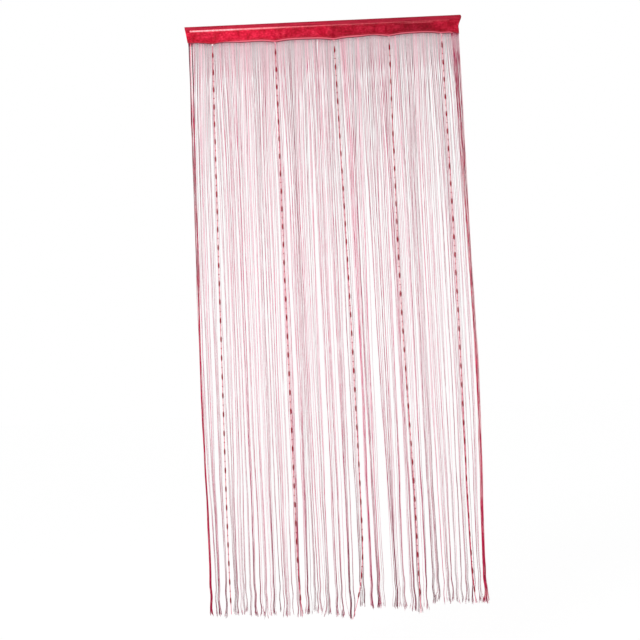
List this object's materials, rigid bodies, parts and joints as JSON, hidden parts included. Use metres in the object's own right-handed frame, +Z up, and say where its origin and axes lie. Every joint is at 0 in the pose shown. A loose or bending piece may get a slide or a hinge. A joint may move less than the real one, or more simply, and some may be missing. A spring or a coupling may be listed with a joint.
{
  "type": "string curtain with bead strands",
  "caption": "Hanging string curtain: thin red strings and bead strands under a cloth heading with a rod pocket.",
  "frame": {"origin": "middle of the heading's top edge, where the curtain hangs", "axes": "+Z up along the strings, X across the width, the front faces -Y"},
  "size_m": [0.9658, 0.0178, 2.0463],
  "materials": {
    "tape_satin": "red satin tape with a soft sheen and fine wrinkles",
    "string_yarn": "matt red polyester yarn",
    "bead_red": "clear red plastic beads, polished"
  },
  "bodies": {
    "root": {"heading": "tape_satin", "strings": "string_yarn", "bead_strand_1": "bead_red", "bead_strand_2": "bead_red", "bead_strand_3": "bead_red", "bead_strand_4": "bead_red", "bead_strand_5": "bead_red"}
  },
  "joints": []
}
